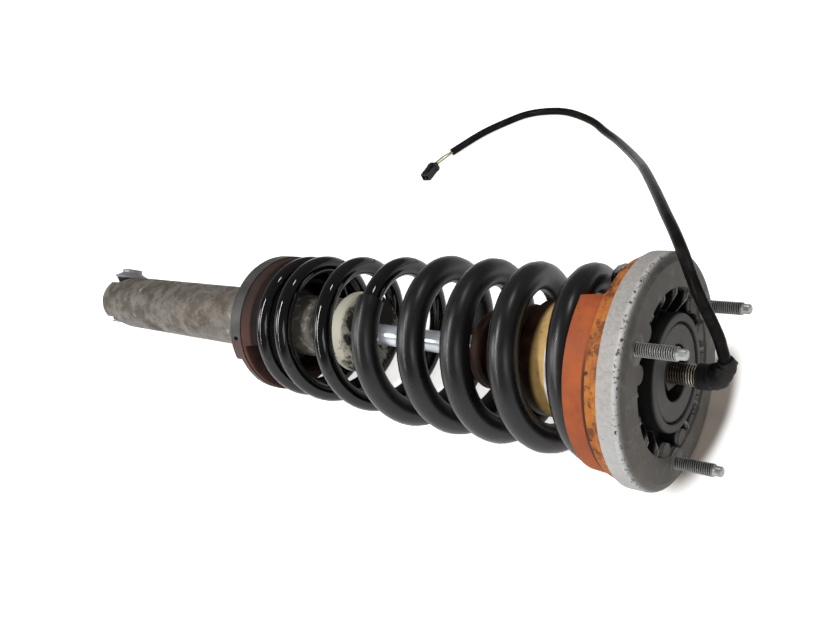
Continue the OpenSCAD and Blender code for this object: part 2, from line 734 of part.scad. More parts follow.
damper_tube();
spring_seat();
lower_spring_pad();
rod_guide();
rod_seal();
guide_circlip();
tube_cap();
bush_ring();
bush_rubber();
coil_spring();
spring_cover();
bush_sleeve();
dividing_piston();
dividing_piston_seal();
piston_rod();
rebound_stop();
rebound_shims();
piston();
piston_band();
compression_shims();
control_valve();
valve_lead();
piston_nut();
bump_stop();
bump_stop_band();
bump_stop_cup();
upper_spring_pad();
mount_housing();
mount_rubber();
mount_core();
mount_studs();
rod_washer();
rod_nut();
cable_boot();
damper_cable();
cable_wires();
cable_connector();
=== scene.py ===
import json
import math
import bmesh
import bpy
from mathutils import Matrix, Vector
from mathutils.kdtree import KDTree
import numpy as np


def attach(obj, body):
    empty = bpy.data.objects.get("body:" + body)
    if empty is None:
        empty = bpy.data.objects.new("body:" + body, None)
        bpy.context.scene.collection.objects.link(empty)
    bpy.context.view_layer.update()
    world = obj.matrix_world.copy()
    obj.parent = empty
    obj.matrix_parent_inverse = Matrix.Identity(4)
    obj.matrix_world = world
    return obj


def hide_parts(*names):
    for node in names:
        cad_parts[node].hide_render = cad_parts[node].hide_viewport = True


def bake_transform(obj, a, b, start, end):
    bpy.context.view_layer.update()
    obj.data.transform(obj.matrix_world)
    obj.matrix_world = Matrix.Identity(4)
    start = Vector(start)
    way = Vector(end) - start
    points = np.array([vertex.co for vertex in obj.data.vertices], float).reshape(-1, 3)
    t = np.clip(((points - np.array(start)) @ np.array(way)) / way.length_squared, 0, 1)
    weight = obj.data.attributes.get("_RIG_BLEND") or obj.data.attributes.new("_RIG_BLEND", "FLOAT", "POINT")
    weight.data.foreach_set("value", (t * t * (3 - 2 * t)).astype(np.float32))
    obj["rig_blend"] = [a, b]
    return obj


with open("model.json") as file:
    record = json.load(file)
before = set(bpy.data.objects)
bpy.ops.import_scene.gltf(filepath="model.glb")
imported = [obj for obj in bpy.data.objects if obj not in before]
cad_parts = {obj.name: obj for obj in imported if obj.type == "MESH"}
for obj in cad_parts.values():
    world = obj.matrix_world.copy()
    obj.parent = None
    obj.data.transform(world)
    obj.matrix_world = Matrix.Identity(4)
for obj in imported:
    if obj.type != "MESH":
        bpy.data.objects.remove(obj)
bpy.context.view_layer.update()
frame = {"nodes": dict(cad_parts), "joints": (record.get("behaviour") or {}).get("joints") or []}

mm = 0.001
print("stage: frame loaded,", len(frame["nodes"]), "nodes")

# The strut lies tilted on its two rims: its own axis comes from the joints.
joints = {joint["name"]: joint for joint in frame["joints"]}
strutAxis = -Vector(joints["rod_slide"]["axis"]).normalized()
strutBase = Vector(joints["bush_twist"]["pos_m"])
upAcross = Vector((-strutAxis.z, 0, strutAxis.x))
layDown = Matrix.Translation(strutBase) @ Matrix((
    (upAcross.x, 0, strutAxis.x, 0),
    (0, -1, 0, 0),
    (upAcross.z, 0, strutAxis.z, 0),
    (0, 0, 0, 1)))


def onStrut(station, radius=0, turn=0):
    # a point of the strut: station and radius in mm, turn in degrees from the top towards the near side
    angle = math.radians(turn)
    return layDown @ (Vector((radius * math.cos(angle), radius * math.sin(angle), station)) * mm)


view = {
    "place": (0.4549, -0.2692, 0.42376),
    "right": (0.77084, 0.49735, -0.39805),
    "up": (-0.10615, 0.7164, 0.68957),
    "lens": 34.07,
    "film": 36}


def addCamera():
    data = bpy.data.cameras.new("viewCamera")
    data.lens = view["lens"]
    data.sensor_width = view["film"]
    data.clip_start = 0.01
    right = Vector(view["right"]).normalized()
    up = Vector(view["up"]).normalized()
    back = right.cross(up)
    turned = Matrix((right, back.cross(right), back)).transposed().to_4x4()
    camera = bpy.data.objects.new("viewCamera", data)
    camera.matrix_world = Matrix.Translation(view["place"]) @ turned
    bpy.context.collection.objects.link(camera)
    bpy.context.scene.camera = camera


addCamera()
print("stage: camera set")


def addNode(tree, kind, inputs=None, **settings):
    node = tree.nodes.new(kind)
    for name, value in settings.items():
        setattr(node, name, value)
    for name, value in (inputs or {}).items():
        socket = node.inputs[name]
        if hasattr(value, "is_linked"):
            tree.links.new(value, socket)
        else:
            socket.default_value = value
    return node


def ramp(tree, source, low, high):
    # a smooth 0 to 1 step between two levels of a value
    return addNode(tree, "ShaderNodeMapRange", {0: source, 1: low, 2: high},
                   interpolation_type="SMOOTHSTEP").outputs[0]


def mixColour(tree, share, first, second):
    node = addNode(tree, "ShaderNodeMix", {0: share}, data_type="RGBA")
    for socket, value in ((node.inputs[6], first), (node.inputs[7], second)):
        if hasattr(value, "is_linked"):
            tree.links.new(value, socket)
        else:
            socket.default_value = (*value, 1)
    return node.outputs[2]


def mathNode(tree, operation, first, second=0.5, clamp=False):
    return addNode(tree, "ShaderNodeMath", {0: first, 1: second},
                   operation=operation, use_clamp=clamp).outputs[0]


def times(tree, first, second):
    return mathNode(tree, "MULTIPLY", first, second)


def vectorNode(tree, operation, first, second=(0, 0, 0)):
    return addNode(tree, "ShaderNodeVectorMath", {0: first, 1: second}, operation=operation).outputs


def makeGroup(name, inputs, outputs):
    group = bpy.data.node_groups.new(name, "ShaderNodeTree")
    for label, kind, value in inputs:
        socket = group.interface.new_socket(label, in_out="INPUT", socket_type=kind)
        if value is not None:
            socket.default_value = value
    for label, kind in outputs:
        group.interface.new_socket(label, in_out="OUTPUT", socket_type=kind)
    return group, group.nodes.new("NodeGroupInput").outputs, group.nodes.new("NodeGroupOutput").inputs


def makeBlotches():
    # soft patches of dirt or stain, broken up by finer grain
    group, given, out = makeGroup("blotches", [
        ("Vector", "NodeSocketVector", None), ("Scale", "NodeSocketFloat", 20.0),
        ("Cover", "NodeSocketFloat", 0.5), ("Edge", "NodeSocketFloat", 0.08)],
        [("Mask", "NodeSocketFloat")])
    broad = addNode(group, "ShaderNodeTexNoise", {
        "Vector": given["Vector"], "Scale": given["Scale"], "Detail": 6.0, "Roughness": 0.62})
    fine = addNode(group, "ShaderNodeTexNoise", {
        "Vector": given["Vector"], "Scale": times(group, given["Scale"], 7.0), "Detail": 4.0})
    level = mathNode(group, "ADD", times(group, broad.outputs[0], 0.8), times(group, fine.outputs[0], 0.2))
    start = mathNode(group, "SUBTRACT", 1.0, given["Cover"])
    mask = addNode(group, "ShaderNodeMapRange", {
        0: level, 1: mathNode(group, "SUBTRACT", start, given["Edge"]),
        2: mathNode(group, "ADD", start, given["Edge"])}, interpolation_type="SMOOTHSTEP")
    group.links.new(mask.outputs[0], out["Mask"])
    return group


def makePits():
    # small round pits or specks, some cells only
    group, given, out = makeGroup("pits", [
        ("Vector", "NodeSocketVector", None), ("Scale", "NodeSocketFloat", 300.0),
        ("Share", "NodeSocketFloat", 0.3), ("Size", "NodeSocketFloat", 0.25)],
        [("Mask", "NodeSocketFloat")])
    cells = addNode(group, "ShaderNodeTexVoronoi", {"Vector": given["Vector"], "Scale": given["Scale"]})
    picked = addNode(group, "ShaderNodeMath", {0: addNode(group, "ShaderNodeSeparateColor", {
        0: cells.outputs["Color"]}).outputs[0], 1: given["Share"]}, operation="LESS_THAN").outputs[0]
    dot = addNode(group, "ShaderNodeMapRange", {
        0: cells.outputs["Distance"], 1: given["Size"], 2: times(group, given["Size"], 0.4)},
        interpolation_type="SMOOTHSTEP").outputs[0]
    group.links.new(times(group, picked, dot), out["Mask"])
    return group


blotchGroup = makeBlotches()
pitGroup = makePits()


def blotchMask(tree, place, scale, cover, edge):
    # scale in patches per metre, cover as the share that is covered, edge as the softness of the rim
    values = {"Vector": place, "Scale": scale, "Cover": cover, "Edge": edge}
    return addNode(tree, "ShaderNodeGroup", values, node_tree=blotchGroup).outputs["Mask"]


def pitMask(tree, place, scale, share, size):
    values = {"Vector": place, "Scale": scale, "Share": share, "Size": size}
    return addNode(tree, "ShaderNodeGroup", values, node_tree=pitGroup).outputs["Mask"]


def newMaterial(name, colour, roughness, metallic=0.0, shine=0.5):
    # a Principled material; returns it with its tree, shader and object coordinates in metres
    material = bpy.data.materials.new(name)
    material.use_nodes = True
    tree = material.node_tree
    shader = tree.nodes["Principled BSDF"]
    shader.inputs["Base Color"].default_value = (*colour, 1)
    shader.inputs["Roughness"].default_value = roughness
    shader.inputs["Metallic"].default_value = metallic
    shader.inputs["Specular IOR Level"].default_value = shine
    place = addNode(tree, "ShaderNodeTexCoord").outputs["Object"]
    return material, tree, shader, place


def strutPlace(tree, place):
    # turns Object coordinates into the strut's own: Z along the strut from the lower bush
    shifted = vectorNode(tree, "ADD", place, tuple(-strutBase))[0]
    turned = tuple(layDown.inverted().to_euler())
    return addNode(tree, "ShaderNodeVectorRotate", {"Vector": shifted, "Rotation": turned},
                   rotation_type="EULER_XYZ").outputs[0]


def stationAndRadius(tree, place):
    # station and radius, and how far up and to the near side a point lies from the axis
    parts = addNode(tree, "ShaderNodeSeparateXYZ", {0: strutPlace(tree, place)}).outputs
    flat = addNode(tree, "ShaderNodeCombineXYZ", {0: parts[0], 1: parts[1]}).outputs[0]
    return parts[2], vectorNode(tree, "LENGTH", flat)["Value"], parts[0], parts[1]


def setColour(tree, shader, colour):
    tree.links.new(colour, shader.inputs["Base Color"])


def spread(tree, mask, low, high):
    # a mask of 0 to 1 turned into a value between two others
    return addNode(tree, "ShaderNodeMapRange", {0: mask, 3: low, 4: high}).outputs[0]


def setRoughness(tree, shader, mask, low, high):
    tree.links.new(spread(tree, mask, low, high), shader.inputs["Roughness"])


def setBump(tree, shader, height, distance, strength=1.0):
    bump = addNode(tree, "ShaderNodeBump", {"Height": height, "Distance": distance, "Strength": strength})
    tree.links.new(bump.outputs[0], shader.inputs["Normal"])


def rubberMaterial(name, colour, roughness=0.6):
    material, tree, shader, place = newMaterial(name, colour, roughness, shine=0.3)
    dust = blotchMask(tree, place, 55.0, 0.47, 0.15)
    setColour(tree, shader, mixColour(tree, dust, colour, tuple(min(c * 1.8 + 0.008, 1) for c in colour)))
    setRoughness(tree, shader, dust, roughness * 0.85, min(roughness * 1.25, 1))
    return material


def dress(node, material):
    data = frame["nodes"][node].data
    data.materials.clear()
    data.materials.append(material)


def spun(outline, steps=96, closed=True):
    # an outline of (radius, station) points, in mm, turned once round the strut
    bm = bmesh.new()
    verts = [bm.verts.new((radius, 0, station)) for radius, station in outline]
    edges = [bm.edges.new(pair) for pair in zip(verts, verts[1:])]
    if closed:
        edges.append(bm.edges.new((verts[-1], verts[0])))
    bmesh.ops.spin(bm, geom=verts + edges, cent=(0, 0, 0), axis=(0, 0, 1), dvec=(0, 0, 0),
                   angle=math.tau, steps=steps, use_merge=True, use_duplicate=False)
    bmesh.ops.remove_doubles(bm, verts=bm.verts, dist=1e-4)
    return bm


def reshape(bm, rule):
    # the rule gives each point a new radius, turn and station
    for vert in bm.verts:
        turn = math.degrees(math.atan2(vert.co.y, vert.co.x)) % 360
        radius, turn, station = rule(math.hypot(vert.co.x, vert.co.y), turn, vert.co.z)
        angle = math.radians(turn)
        vert.co = (radius * math.cos(angle), radius * math.sin(angle), station)


def arcRun(centre, radius, start, end, steps=8):
    return [(centre[0] + radius * math.cos(math.radians(start + (end - start) * i / steps)),
             centre[1] + radius * math.sin(math.radians(start + (end - start) * i / steps)))
            for i in range(steps + 1)]


def sweptRings(bm, stops, sides):
    # rings of (centre, heading, radius) joined into a tube with closed ends
    side = Vector((0.31, 0.9, 0.3))
    rings = []
    for centre, heading, radius in stops:
        ahead = Vector(heading).normalized()
        side = (side - ahead * side.dot(ahead)).normalized()
        turned = Matrix((side, ahead.cross(side), ahead)).transposed().to_4x4()
        ring = bmesh.ops.create_circle(bm, segments=sides, radius=radius,
                                       matrix=Matrix.Translation(centre) @ turned)["verts"]
        rings.append(ring)
    for first, second in zip(rings, rings[1:]):
        for k in range(sides):
            n = (k + 1) % sides
            bm.faces.new((first[k], first[n], second[n], second[k]))
    bm.faces.new(reversed(rings[0]))
    bm.faces.new(rings[-1])


def keepMesh(bm, name, material, body, place=layDown, sharp=32):
    # turns a bmesh drawn in mm into a finished piece
    bmesh.ops.recalc_face_normals(bm, faces=bm.faces)
    bmesh.ops.scale(bm, vec=(mm, mm, mm), verts=bm.verts)
    bmesh.ops.transform(bm, matrix=place, verts=bm.verts)
    data = bpy.data.meshes.new(name)
    bm.to_mesh(data)
    bm.free()
    data.shade_smooth()
    data.set_sharp_from_angle(angle=math.radians(sharp))
    data.materials.append(material)
    piece = bpy.data.objects.new(name, data)
    bpy.context.collection.objects.link(piece)
    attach(piece, body)
    return piece


def barCurve(name, points, radius, sides):
    # a bevelled curve along points in metres
    curve = bpy.data.curves.new(name, "CURVE")
    curve.dimensions = "3D"
    curve.bevel_depth = radius
    curve.bevel_resolution = sides // 4 - 1
    curve.use_fill_caps = True
    line = curve.splines.new("POLY")
    line.points.add(len(points) - 1)
    for point, place in zip(line.points, points):
        point.co = (*place, 1)
    return curve, line


def tubeAlong(name, points, radius, material, sides):
    curve, _ = barCurve(name, points, radius, sides)
    holder = bpy.data.objects.new(name, curve)
    bpy.context.collection.objects.link(holder)
    data = bpy.data.meshes.new_from_object(holder.evaluated_get(bpy.context.evaluated_depsgraph_get()))
    bpy.data.objects.remove(holder)
    data.name = name
    data.materials.clear()
    data.materials.append(material)
    data.shade_smooth()
    piece = bpy.data.objects.new(name, data)
    bpy.context.collection.objects.link(piece)
    return piece


def smoothRun(points, steps):
    # a Catmull-Rom line through the points
    run = []
    for i in range(len(points) - 1):
        a, b, c, d = (Vector(points[min(max(i + k, 0), len(points) - 1)]) for k in (-1, 0, 1, 2))
        for k in range(steps):
            t = k / steps
            run.append(0.5 * (2 * b + (c - a) * t + (2 * a - 5 * b + 4 * c - d) * t ** 2
                              + (3 * b - a - 3 * c + d) * t ** 3))
    run.append(Vector(points[-1]))
    return run


def headings(run):
    return [run[min(i + 1, len(run) - 1)] - run[max(i - 1, 0)] for i in range(len(run))]


# The free lead comes first.
lead = {
    "radius": 0.0036,
    "swell": 0.2,
    "route": [
        (0.3274, 0.0046, 0.0822), (0.3265, 0.0058, 0.0895), (0.3252, 0.0076, 0.0980),
        (0.3204, 0.0125, 0.1085), (0.3151, 0.0180, 0.1175), (0.3087, 0.0274, 0.1235),
        (0.3007, 0.0406, 0.1270), (0.2903, 0.0578, 0.1260), (0.2748, 0.0831, 0.1190),
        (0.2504, 0.1246, 0.1030), (0.2174, 0.1798, 0.0780), (0.1855, 0.2305, 0.0505),
        (0.1570, 0.2715, 0.0305), (0.1310, 0.3060, 0.0155), (0.1060, 0.3335, 0.0066),
        (0.0820, 0.3560, 0.0043), (0.0500, 0.3738, 0.0042), (0.0240, 0.3794, 0.0042),
        (-0.0040, 0.3764, 0.0042), (-0.0260, 0.3628, 0.0042), (-0.0480, 0.3428, 0.0042),
        (-0.0700, 0.3100, 0.0042)],
    "steps": 8,
    "sides": 24,
    "plugBack": (-0.0800, 0.2870, 0.0040),
    "wireRadius": 0.0009,
    "wireSpread": (0.0016, 0.0026, 0.0022),
    "wireMiddle": -0.0772}


def leadMaterial(name, rough, shine, index=1.5):
    # a low index: much of the lead is seen almost end on, where a usual gloss would turn it white
    material, tree, shader, place = newMaterial(name, (0.008, 0.0075, 0.008), rough, shine=shine)
    shader.inputs["IOR"].default_value = index
    dust = blotchMask(tree, place, 60.0, 0.46, 0.12)
    setColour(tree, shader, mixColour(tree, dust, (0.008, 0.0072, 0.0072), (0.02, 0.018, 0.017)))
    setRoughness(tree, shader, dust, rough * 0.85, rough * 1.3)
    return material


def wireCoat():
    # one wire is green, the other yellowish: the side of the pair decides
    material, tree, shader, place = newMaterial("wireCoat", (0.4, 0.5, 0.3), 0.4)
    sideways = addNode(tree, "ShaderNodeSeparateXYZ", {0: place}).outputs[0]
    second = ramp(tree, mathNode(tree, "SUBTRACT", sideways, lead["wireMiddle"]), -0.0001, 0.0001)
    dust = blotchMask(tree, place, 200.0, 0.4, 0.15)
    coat = mixColour(tree, second, (0.2, 0.36, 0.12), (0.5, 0.42, 0.2))
    setColour(tree, shader, mixColour(tree, dust, coat, (0.2, 0.19, 0.15)))
    return material


def addLead():
    run = smoothRun(lead["route"], lead["steps"])
    curve, line = barCurve("leadJacket", run, lead["radius"], lead["sides"])
    for i, point in enumerate(line.points):
        point.radius = 1 + lead["swell"] * (i / len(run) - 0.5)
    line.use_smooth = True
    curve.materials.append(leadMaterial("leadJacket", 0.26, 0.9, 1.09))
    piece = bpy.data.objects.new("leadJacket", curve)
    bpy.context.collection.objects.link(piece)
    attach(piece, "rod")
    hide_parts("damper_cable")
    wires = addPlugWires(run)


def addPlugWires(run):
    # two thin wires from the jacket's end to the back of the plug
    end = run[-1]
    ahead = (end - run[-2]).normalized()
    beside = Vector((0, 0, 1)).cross(ahead).normalized()
    back = Vector(lead["plugBack"])
    near, middle, far = lead["wireSpread"]
    bm = bmesh.new()
    for side in (-1, 1):
        root = end + side * near * beside
        route = smoothRun([
            root + 0.0001 * ahead, root + 0.003 * ahead, end + side * middle * beside + 0.0095 * ahead,
            back + Vector((side * far, 0.004, 0)), back + Vector((side * far, 0.0001, 0))], 6)
        thick = lead["wireRadius"] / mm
        sweptRings(bm, [(point / mm, onward, thick) for point, onward in zip(route, headings(route))], 12)
    wires = keepMesh(bm, "plugWires", wireCoat(), "rod", Matrix())
    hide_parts("cable_wires")
    return wires


addLead()

# One wire, close at its foot, open in the middle, with a rubber cover on the upper turns.
spring = {
    "wireRadius": 7,
    "coverRadius": 9.55,
    "tipStation": 290.5,
    "tipTurn": 182,
    "footRadius": 50.4,
    "headRadius": 52.4,
    "turns": 8.375,
    "stepsPerTurn": 64,
    "sides": 24,
    "coverTurn": 3.519,
    "pitch": [(0, 11.5), (0.55, 11.5), (0.8, 21), (1.2, 20.5), (1.6, 32), (1.9, 48.5), (2.6, 45.5),
              (3.6, 43), (4.6, 38.6), (5.6, 33.4), (6.6, 38), (7.3, 42.5), (7.5, 41), (7.85, 14), (8, 10),
              (8.4, 9)],
    "bulge": [(0, 0), (1, 0.4), (2, 1.1), (3, 1.5), (3.6, 2.7), (4.4, 1.6), (5.1, 0.9), (5.9, 0.7),
              (6.5, -0.4), (7.4, 0.2), (8, 0)],
    "freeTurns": (0.6, 7.75),
    "closedGap": 0.6,
    "floorGap": 0.2,
    "blendFrom": 283,
    "blendTo": 584}


def between(table, x):
    for (a, u), (b, v) in zip(table, table[1:]):
        if x <= b:
            return u + (v - u) * max(x - a, 0) / (b - a)
    return table[-1][1]


def coilRadius(turn):
    return spring["wireRadius"] if turn < spring["coverTurn"] else spring["coverRadius"]


def springLine():
    # centre line of the wire on the upright strut, in mm, with the turn of each point, kept off the floor
    count = round(spring["turns"] * spring["stepsPerTurn"])
    station = spring["tipStation"]
    line = []
    for i in range(count + 1):
        turn = i / spring["stepsPerTurn"]
        radius = spring["footRadius"] + (spring["headRadius"] - spring["footRadius"]) * i / count
        radius += between(spring["bulge"], turn)
        angle = math.radians(spring["tipTurn"]) + math.tau * turn
        point = Vector((radius * math.cos(angle), radius * math.sin(angle), station))
        thick = coilRadius(turn + 0.03)
        sunk = thick + spring["floorGap"] - (layDown @ (point * mm)).z / mm
        point.x += max(sunk, 0) / upAcross.z
        line.append((turn, point))
        station += between(spring["pitch"], turn + 0.5 / spring["stepsPerTurn"]) / spring["stepsPerTurn"]
    return line


wireLine = springLine()


def wireStation(turn):
    # station of the wire's centre after so many turns
    place = min(max(turn * spring["stepsPerTurn"], 0), len(wireLine) - 1)
    low = min(int(place), len(wireLine) - 2)
    return wireLine[low][1].z + (wireLine[low + 1][1].z - wireLine[low][1].z) * (place - low)


def closingShares(line):
    # how far each turn has moved when the spring is fully closed: every free turn gives way by the
    # same amount, unless it meets its neighbour first
    travel = max(joints["rod_slide"]["range_m"]) / mm
    low, high = spring["freeTurns"]
    room = [max(between(spring["pitch"], turn) - 2 * coilRadius(turn) - spring["closedGap"], 0)
            if low < turn < high else 0 for turn, _ in line]
    give = 1.0
    while sum(min(give, r) for r in room) / spring["stepsPerTurn"] < travel and give < 60:
        give += 0.1
    total = sum(min(give, r) for r in room)
    shares, moved = [], 0
    for r in room:
        shares.append(moved / total)
        moved += min(give, r)
    return shares


def closeWithRod(piece, line, shares):
    # each ring of the wire moves with the rod by its own share, so that the section stays round
    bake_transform(piece, "damper", "rod", start=tuple(onStrut(spring["blendFrom"])),
             end=tuple(onStrut(spring["blendTo"])))
    tree = KDTree(len(line))
    for i, (_, point) in enumerate(line):
        tree.insert(layDown @ (point * mm), i)
    tree.balance()
    weights = piece.data.attributes["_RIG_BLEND"].data
    for vertex in piece.data.vertices:
        weights[vertex.index].value = shares[tree.find(vertex.co)[1]]


def wireMaterial():
    material, tree, shader, place = newMaterial("springEnamel", (0.003, 0.003, 0.0035), 0.06, shine=0.5)
    dust = blotchMask(tree, place, 45.0, 0.4, 0.1)
    setColour(tree, shader, mixColour(tree, dust, (0.003, 0.003, 0.0035), (0.008, 0.0075, 0.007)))
    setRoughness(tree, shader, dust, 0.045, 0.11)
    return material


def coverMaterial():
    material, tree, shader, place = newMaterial("coverRubber", (0.008, 0.008, 0.0085), 0.35, shine=0.5)
    dust = blotchMask(tree, place, 30.0, 0.45, 0.2)
    setColour(tree, shader, mixColour(tree, dust, (0.0045, 0.0048, 0.005), (0.01, 0.01, 0.0095)))
    setRoughness(tree, shader, dust, 0.27, 0.4)
    grain = addNode(tree, "ShaderNodeTexNoise", {"Vector": place, "Scale": 900.0, "Detail": 3.0}).outputs[0]
    setBump(tree, shader, grain, 0.0001, 0.12)
    return material


def addSpring():
    sides = spring["sides"]
    shares = closingShares(wireLine)
    wire = tubeAlong("springWire", [layDown @ (p * mm) for _, p in wireLine], spring["wireRadius"] * mm,
                     wireMaterial(), sides)
    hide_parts("coil_spring")
    closeWithRod(wire, wireLine, shares)
    covered = [p for turn, p in wireLine if turn >= spring["coverTurn"]]
    cover = tubeAlong("springCover", [layDown @ (p * mm) for p in covered], spring["coverRadius"] * mm,
                      coverMaterial(), sides)
    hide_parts("spring_cover")
    closeWithRod(cover, wireLine, shares)
    print("stage: spring, %d rings" % len(wireLine))


addSpring()

lowerPad = {
    "collarInside": 36, "collarRadius": 40, "collarTop": 296,
    "outerRadius": 56, "lipRadius": 53.6, "foot": 267.2, "lip": 273.2,
    "wall": 284.5, "lowFace": 277, "rampEnd": 240, "ribTurn": 292, "ribHalf": 4.5, "ribHeight": 1.6}


def brownPad():
    material, tree, shader, place = newMaterial("padBrown", (0.16, 0.07, 0.055), 0.7, shine=0.2)
    station, radius, _, near = stationAndRadius(tree, place)
    face = ramp(tree, radius, 0.0556, 0.055)
    rust = blotchMask(tree, place, 60.0, 0.5, 0.14)
    low = ramp(tree, near, 0.02, 0.055)
    side = mixColour(tree, rust, mixColour(tree, low, (0.024, 0.014, 0.012), (0.06, 0.024, 0.018)),
                     mixColour(tree, low, (0.042, 0.022, 0.018), (0.11, 0.042, 0.03)))
    dark = mixColour(tree, rust, (0.014, 0.009, 0.008), (0.032, 0.018, 0.015))
    brownFace = mixColour(tree, rust, (0.035, 0.017, 0.013), (0.065, 0.032, 0.024))
    dark = mixColour(tree, ramp(tree, station, 0.2815, 0.2775), dark, brownFace)
    setColour(tree, shader, mixColour(tree, face, side, dark))
    setRoughness(tree, shader, rust, 0.6, 0.85)
    setBump(tree, shader, rust, 0.0004, 0.35)
    return material


def addLowerPad():
    # the face climbs under the first coil and drops to a low sector with one rib across it; outline
    # stations from 1000 on mark the points that the rule places
    top = 1000
    form = lowerPad
    outline = [
        (form["collarInside"], form["foot"]), (form["collarInside"], form["collarTop"] - 1),
        (form["collarInside"] + 1, form["collarTop"]), (form["collarRadius"] - 0.6, form["collarTop"]),
        (form["collarRadius"], form["collarTop"] - 2), (form["collarRadius"] + 0.6, top),
        (spring["footRadius"] + 1.5, top), (form["outerRadius"] - 0.6, top + 100),
        (form["outerRadius"] - 0.15, top + 100.3), (form["outerRadius"], top + 100.8),
        (form["outerRadius"], form["lip"]), (form["lipRadius"], form["lip"]),
        (form["lipRadius"], form["foot"])]

    def faceLevel(turn):
        back = (turn - spring["tipTurn"]) % 360
        if back < form["rampEnd"]:
            return wireStation(back / 360) - spring["wireRadius"] - 0.1
        rib = max(0, 1 - (abs(back - form["ribTurn"]) / form["ribHalf"]) ** 4)
        return form["lowFace"] + form["ribHeight"] * rib

    def rule(radius, turn, station):
        level = faceLevel(turn)
        if station > top + 50:
            return radius, turn, min(level, form["wall"]) - (station - top - 100)
        return radius, turn, level if station > top - 1 else station

    bm = spun(outline, 240)
    reshape(bm, rule)
    pad = keepMesh(bm, "lowerPad", brownPad(), "damper", sharp=40)
    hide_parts("lower_spring_pad")
    print("stage: lower pad")


addLowerPad()

upperPad = {
    "inside": 40, "seat": 586.9, "flangeTop": 591.9, "flange": 68, "bead": 66.2, "groove": 64.8,
    "thickFace": 568, "wall": (62.7, 63.9, 568.6), "wallEnd": (235, 300), "thinFace": 583.6,
    "stepTurn": 3, "coilGap": 0.3, "centring": 52.6}


def orangePad():
    material, tree, shader, place = newMaterial("padOrange", (0.45, 0.1, 0.025), 0.6, shine=0.25)
    station, radius, _, near = stationAndRadius(tree, place)
    lip = times(tree, ramp(tree, radius, 0.0652, 0.0658), ramp(tree, station, 0.581, 0.5825))
    cloud = blotchMask(tree, place, 45.0, 0.5, 0.16)
    body = mixColour(tree, cloud, (0.28, 0.062, 0.018), (0.42, 0.1, 0.027))
    streak = blotchMask(tree, place, 130.0, 0.46, 0.06)
    edge = mixColour(tree, cloud, (0.38, 0.105, 0.02), (0.52, 0.19, 0.036))
    edge = mixColour(tree, streak, edge, (0.17, 0.055, 0.018))
    specks = blotchMask(tree, place, 210.0, 0.4, 0.03)
    edge = mixColour(tree, specks, edge, (0.03, 0.017, 0.01))
    base = mixColour(tree, lip, body, edge)
    # painted shade: the groove between the wall and the flange is darkened on the near side only
    gap = times(tree, ramp(tree, station, 0.5805, 0.5815), ramp(tree, radius, 0.0660, 0.0650))
    low = ramp(tree, near, 0.025, 0.05)
    base = mixColour(tree, times(tree, gap, low), base, (0.06, 0.02, 0.012))
    setColour(tree, shader, base)
    setRoughness(tree, shader, cloud, 0.5, 0.75)
    setBump(tree, shader, cloud, 0.0003, 0.3)
    return material


def addUpperPad():
    # a thick ring that follows the last coil, with a groove and a flange under the mount; outline
    # stations from 1000 on number the points that the rule places
    form = upperPad
    top = 1000
    headTurn = (spring["tipTurn"] + 360 * spring["turns"]) % 360
    leadIn = (headTurn - form["stepTurn"]) % 360
    wallInside, wallOutside, wallFoot = form["wall"]
    outline = [
        (form["inside"], form["seat"]), (form["inside"], top), (wallInside, top),
        (wallInside + 0.1, top + 1), (wallOutside - 0.3, top + 1), (wallOutside, top + 2),
        (form["groove"], top + 3), (form["groove"], top + 4),
        (form["bead"] - 0.4, top + 5), (form["bead"], top + 6), (form["bead"], form["flangeTop"] - 4.3),
        (form["flange"] - 0.4, form["flangeTop"] - 4), (form["flange"], form["flangeTop"] - 3.5),
        (form["flange"], form["flangeTop"]), (form["centring"], form["flangeTop"]),
        (form["centring"], form["seat"])]

    def rule(radius, turn, station):
        if station < top - 1:
            return radius, turn, station
        back = max(0, leadIn - (turn - form["stepTurn"]) % 360)
        thin = form["thinFace"]
        coilTop = wireStation(spring["turns"] - back / 360) + spring["coverRadius"] + form["coilGap"]
        level = min(thin, max(form["thickFace"], coilTop))
        wallEnd, wallGone = form["wallEnd"]
        wall = between([(0, wallFoot), (wallEnd, wallFoot), (wallGone, thin), (360, thin)],
                       (turn - form["stepTurn"]) % 360)
        wall = min(wall, level + 0.2)
        part = round(station - top)
        station = [level, wall, wall + 0.3, max(thin - 2.1, wall + 0.6), max(thin - 1, wall + 0.9),
                   max(thin - 0.4, wall + 1.2), max(thin, wall + 1.6)][part]
        return radius, turn, station

    bm = spun(outline, 240)
    reshape(bm, rule)
    pad = keepMesh(bm, "upperPad", orangePad(), "rod", sharp=40)
    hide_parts("upper_spring_pad")
    print("stage: upper pad")


addUpperPad()

bumpStop = {
    "bore": 8.3, "foot": 477, "footRadius": 14.4, "waist": 21, "neck": 30,
    "lobes": [(27, 477.4, 487.5, 4), (33, 492, 519, 9), (38, 521.5, 572.9, 5.5)],
    "band": (37.9, 38.6, 542, 553.5)}


def foamMaterial():
    material, tree, shader, place = newMaterial("foamSkin", (0.5, 0.26, 0.08), 0.5, shine=0.22)
    station = stationAndRadius(tree, place)[0]
    # golden above station 0.531, dark brown below: the dark brown is partly grime and partly painted shade
    # from the coils around the lower lobes
    gold = ramp(tree, station, 0.531, 0.5355)
    cloud = blotchMask(tree, place, 50.0, 0.48, 0.15)
    dark = mixColour(tree, cloud, (0.013, 0.0055, 0.0025), (0.045, 0.018, 0.008))
    light = mixColour(tree, cloud, (0.6, 0.37, 0.12), (0.82, 0.55, 0.22))
    scratch = blotchMask(tree, place, 160.0, 0.36, 0.05)
    light = mixColour(tree, scratch, light, (0.34, 0.18, 0.06))
    setColour(tree, shader, mixColour(tree, gold, dark, light))
    setRoughness(tree, shader, cloud, 0.42, 0.66)
    setBump(tree, shader, cloud, 0.0003, 0.3)
    return material


